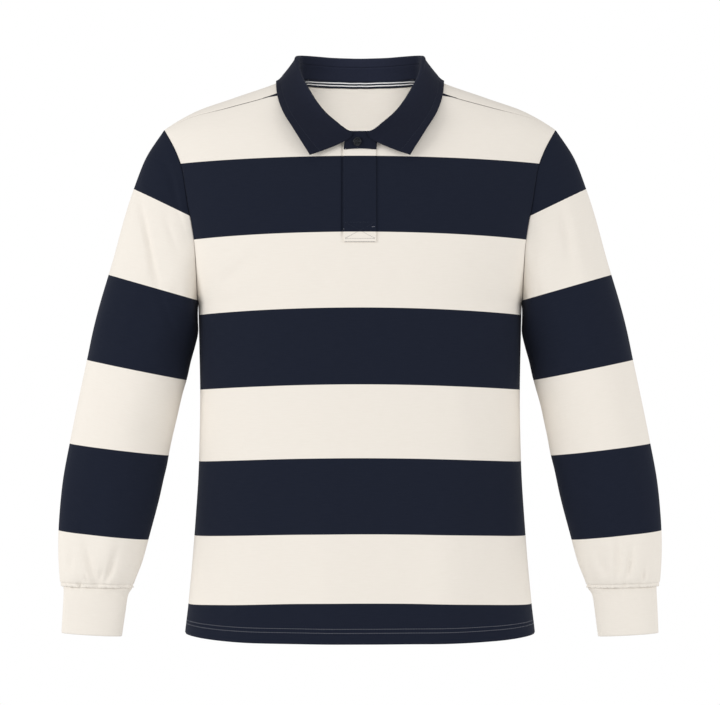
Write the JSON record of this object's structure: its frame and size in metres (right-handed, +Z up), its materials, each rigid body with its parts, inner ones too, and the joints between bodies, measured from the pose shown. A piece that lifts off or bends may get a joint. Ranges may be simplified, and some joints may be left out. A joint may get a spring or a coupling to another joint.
{
  "type": "long-sleeve polo shirt",
  "caption": "Hooped cream and navy jersey pullover shirt with a turned-down twill collar, a short front placket and one button, hollow as if worn.",
  "frame": {"origin": "midway between the shoulder points, at the height where a wearer's shoulders carry the shirt", "axes": "+X towards the wearer's left, -Y out of the chest, +Z up"},
  "size_m": [0.7918, 0.2306, 0.7704],
  "materials": {
    "jersey_hooped": "matt combed jersey with a fine knit grain, in wide even hoops of cream and navy, about 99 mm each, drooping slightly towards the side seams",
    "cuff_knit": "matt fine close knit, cream all round",
    "collar_twill": "matt brushed cotton twill, navy all over",
    "tape_striped": "matt woven tape with two thin white stripes along its length",
    "button_plastic": "glossy navy, four holes"
  },
  "bodies": {
    "root": {"front": "jersey_hooped", "back": "jersey_hooped", "sleeve_left": "jersey_hooped", "sleeve_right": "jersey_hooped", "cuff_left": "cuff_knit", "cuff_right": "cuff_knit", "placket_top": "jersey_hooped", "placket_under": "jersey_hooped", "collar_band": "collar_twill", "collar_leaf": "collar_twill", "neck_tape": "tape_striped", "button": "button_plastic"}
  },
  "joints": []
}
